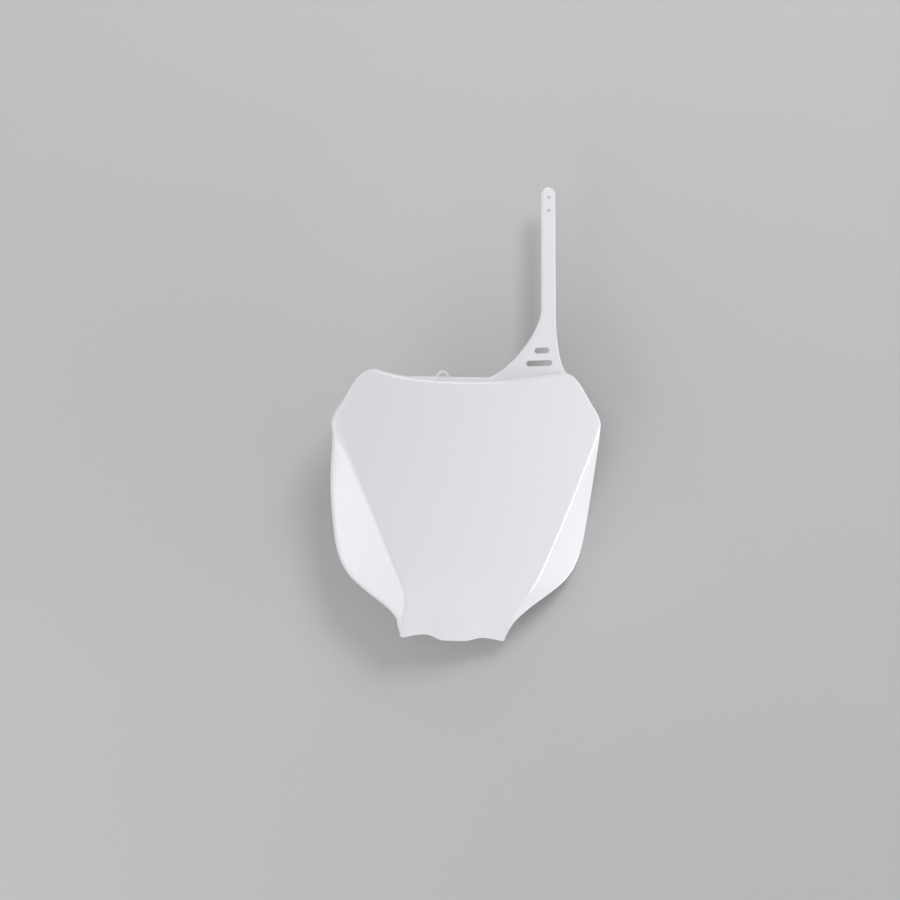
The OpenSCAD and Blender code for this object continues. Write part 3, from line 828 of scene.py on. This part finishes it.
def plastic(name, look, roughness, ripple, grain):
    """White moulded plastic with a given roughness, ripple and grain."""
    if name in bpy.data.materials:
        return bpy.data.materials[name]
    m = bpy.data.materials.new(name)
    m.use_nodes = True
    nodes, links = m.node_tree.nodes, m.node_tree.links
    shader = nodes["Principled BSDF"]
    g = nodes.new("ShaderNodeGroup")
    g.node_tree = plastic_group()
    g.inputs["Colour A"].default_value = (*look.white, 1.0)
    g.inputs["Colour B"].default_value = (*look.warm, 1.0)
    g.inputs["Roughness"].default_value = roughness
    g.inputs["Unevenness"].default_value = UNEVENNESS
    g.inputs["Ripple"].default_value = ripple
    g.inputs["Grain"].default_value = grain
    links.new(g.outputs["Colour"], shader.inputs["Base Color"])
    links.new(g.outputs["Roughness"], shader.inputs["Roughness"])
    links.new(g.outputs["Normal"], shader.inputs["Normal"])
    shader.inputs["IOR"].default_value = PLASTIC_IOR
    return m


def gloss(look):
    """The polished front of the moulding."""
    return plastic("Glossy white plastic", look, look.gloss, ripple=0.4, grain=0.01)


def satin(look):
    """The plain back of the moulding."""
    return plastic("Satin white plastic", look, look.satin, ripple=0.3, grain=0.12)


def backdrop_paint(grey):
    """Matt paint for the backdrop, which is see-through from behind."""
    m = bpy.data.materials.new("Grey backdrop")
    m.use_nodes = True
    nodes, links = m.node_tree.nodes, m.node_tree.links
    shader = nodes["Principled BSDF"]
    shader.inputs["Base Color"].default_value = (*grey, 1)
    shader.inputs["Roughness"].default_value = BACKDROP_ROUGHNESS
    clear, mix, side = (
        nodes.new("ShaderNodeBsdfTransparent"),
        nodes.new("ShaderNodeMixShader"),
        nodes.new("ShaderNodeNewGeometry"),
    )
    links.new(side.outputs["Backfacing"], mix.inputs["Fac"])
    links.new(shader.outputs["BSDF"], mix.inputs[1])
    links.new(clear.outputs["BSDF"], mix.inputs[2])
    links.new(mix.outputs["Shader"], nodes["Material Output"].inputs["Surface"])
    return m


# ---------------------------------------------------------------- operators


class BOARD_OT_shell(bpy.types.Operator):
    """Build the board's moulded shell."""

    bl_idname = "number_board.shell"
    bl_label = "Shell"

    def execute(self, context):
        f, s, _, look, _ = sizes()
        points, faces, back = shell_mesh(f, s)
        make_piece("shell", points, faces, [gloss(look), satin(look)], back)
        return {"FINISHED"}


class BOARD_OT_strap(bpy.types.Operator):
    """Build the strap with its root, slots, holes and ledge."""

    bl_idname = "number_board.strap"
    bl_label = "Strap"

    def execute(self, context):
        f, s, _, look, _ = sizes()
        top = s.height - s.hole_inset
        loops = [
            strap_outline(f, s),
            slot_hole(f, s, s.low_slot_share, s.low_slot_in),
            slot_hole(f, s, s.high_slot_share, s.high_slot_in),
            round_hole(s.axis_x, top, s.hole_d / 2),
            round_hole(s.axis_x, top - s.hole_pitch, s.hole_d / 2),
        ]
        share = rounding_share(f, s, loops[0])
        rounds = [(s.front_round * share, s.back_round * share)] + [OPENING_ROUNDS] * (len(loops) - 1)
        points, faces, normals = plate_mesh(loops, s.thick, rounds)
        make_piece("strap", points + [0, s.back - s.thick, 0], faces, [gloss(look)], normals=normals)
        return {"FINISHED"}


class BOARD_OT_hose_loop(bpy.types.Operator):
    """Build the small arch on the ledge."""

    bl_idname = "number_board.hose_loop"
    bl_label = "Hose loop"

    def execute(self, context):
        f, s, _, look, _ = sizes()
        loops, rounds = [loop_outline(s), loop_hole(s)], [LOOP_ROUNDS, LOOP_HOLE_ROUNDS]
        points, faces, normals = plate_mesh(loops, s.thick, rounds)
        points += [-s.loop_x, s.back - s.thick, ledge_h(f, s)]
        make_piece("hose_loop", points, faces, [gloss(look)], normals=normals)
        return {"FINISHED"}


class BOARD_OT_pins(bpy.types.Operator):
    """Build the two locating pins with their gussets."""

    bl_idname = "number_board.pins"
    bl_label = "Locating pins"

    def execute(self, context):
        f, _, p, look, _ = sizes()
        parts = []
        for side in (-1, 1):
            x = side * p.gap / 2
            pin, quads = lathe_mesh(pin_profile(p, back_y(f, x, 0.0)))
            parts.append((pin + [x, 0, 0], quads))
            parts += [gusset_mesh(f, p, x, dx, dz) for dx, dz in ((1, 0), (-1, 0), (0, 1), (0, -1))]
        points, faces = join(parts)
        make_piece("locating_pins", points, faces, [satin(look)])
        return {"FINISHED"}


class BOARD_OT_stage(bpy.types.Operator):
    """Build the backdrop, the lamps and the camera."""

    bl_idname = "number_board.stage"
    bl_label = "Stage"

    def execute(self, context):
        stage = sizes()[4]
        scene = context.scene
        yaw, pitch = stage.yaw, stage.pitch
        forward = Vector((math.sin(yaw) * math.cos(pitch), math.cos(yaw) * math.cos(pitch), -math.sin(pitch)))
        right = Vector((math.cos(yaw), -math.sin(yaw), 0.0))
        up = right.cross(forward)
        eye = -(stage.aside * right - stage.below * up + stage.distance * forward)
        camera = bpy.data.objects.new("camera", bpy.data.cameras.new("camera"))
        camera.data.sensor_width = SENSOR
        camera.data.lens = stage.focal
        camera.data.clip_start = NEAREST
        turn = Matrix((right, up, -forward)).transposed().to_4x4()
        camera.matrix_world = Matrix.Translation(eye) @ turn
        scene.collection.objects.link(camera)
        scene.camera = camera

        for name, across, height, wide, high, power in LAMPS:
            a, e = math.radians(across), math.radians(height)
            way = math.sin(a) * math.cos(e) * right - math.cos(a) * math.cos(e) * forward + math.sin(e) * up
            light = bpy.data.lights.new(name, "AREA")
            light.shape = "RECTANGLE"
            light.size, light.size_y, light.energy = wide, high, power * stage.light
            lamp = bpy.data.objects.new(name, light)
            place = Matrix.Translation(Vector(LAMP_TARGET) + LAMP_DISTANCE * way)
            lamp.matrix_world = place @ way.to_track_quat("Z", "Y").to_matrix().to_4x4()
            scene.collection.objects.link(lamp)

        world = bpy.data.worlds.new("Studio")
        world.use_nodes = True
        sky = world.node_tree.nodes["Background"]
        sky.inputs["Color"].default_value = (1.0, 1.0, 1.0, 1)
        sky.inputs["Strength"].default_value = stage.ambient * stage.light
        scene.world = world

        away = (math.cos(stage.slant) * forward - math.sin(stage.slant) * right).normalized()
        aside = up.cross(-away)
        reach = max(float((piece_points(o) @ np.array(away)).max()) for o in pieces()) + stage.gap
        corners = [
            reach * away + BACKDROP_HALF * (i * aside + j * up) for i, j in ((-1, -1), (1, -1), (1, 1), (-1, 1))
        ]
        mesh = bpy.data.meshes.new("backdrop")
        mesh.from_pydata(corners, [], [(0, 1, 2, 3)])
        mesh.materials.append(backdrop_paint(stage.grey))
        backdrop = bpy.data.objects.new("backdrop", mesh)
        scene.collection.objects.link(backdrop)
        scene.view_settings.view_transform = "Standard"
        return {"FINISHED"}


class BOARD_PT_panel(bpy.types.Panel):
    """Lists the board's operators and sizes."""

    bl_label = "Number board"
    bl_idname = "BOARD_PT_panel"
    bl_space_type = "VIEW_3D"
    bl_region_type = "UI"
    bl_category = "Number board"

    def draw(self, context):
        for operator in OPERATORS:
            self.layout.operator(operator.bl_idname)
        for group in sizes():
            box = self.layout.box()
            for name in group.__annotations__:
                box.prop(group, name)


GROUPS = {
    "board_face": FaceSizes,
    "board_strap": StrapSizes,
    "board_pins": PinSizes,
    "board_look": LookSettings,
    "board_stage": StageSettings,
}
OPERATORS = (BOARD_OT_shell, BOARD_OT_strap, BOARD_OT_hose_loop, BOARD_OT_pins, BOARD_OT_stage)


def register():
    """Registers the property groups, the operators and the panel."""
    for name, group in GROUPS.items():
        bpy.utils.register_class(group)
        setattr(bpy.types.Scene, name, bpy.props.PointerProperty(type=group))
    for cls in (*OPERATORS, BOARD_PT_panel):
        bpy.utils.register_class(cls)


def unregister():
    """Takes them out again, in the opposite order."""
    for cls in (BOARD_PT_panel, *reversed(OPERATORS)):
        bpy.utils.unregister_class(cls)
    for name, group in reversed(GROUPS.items()):
        delattr(bpy.types.Scene, name)
        bpy.utils.unregister_class(group)


def main():
    register()
    bpy.ops.number_board.shell()
    bpy.ops.number_board.strap()
    bpy.ops.number_board.hose_loop()
    bpy.ops.number_board.pins()
    bpy.ops.number_board.stage()
    bpy.context.view_layer.update()


if __name__ == "__main__":
    main()
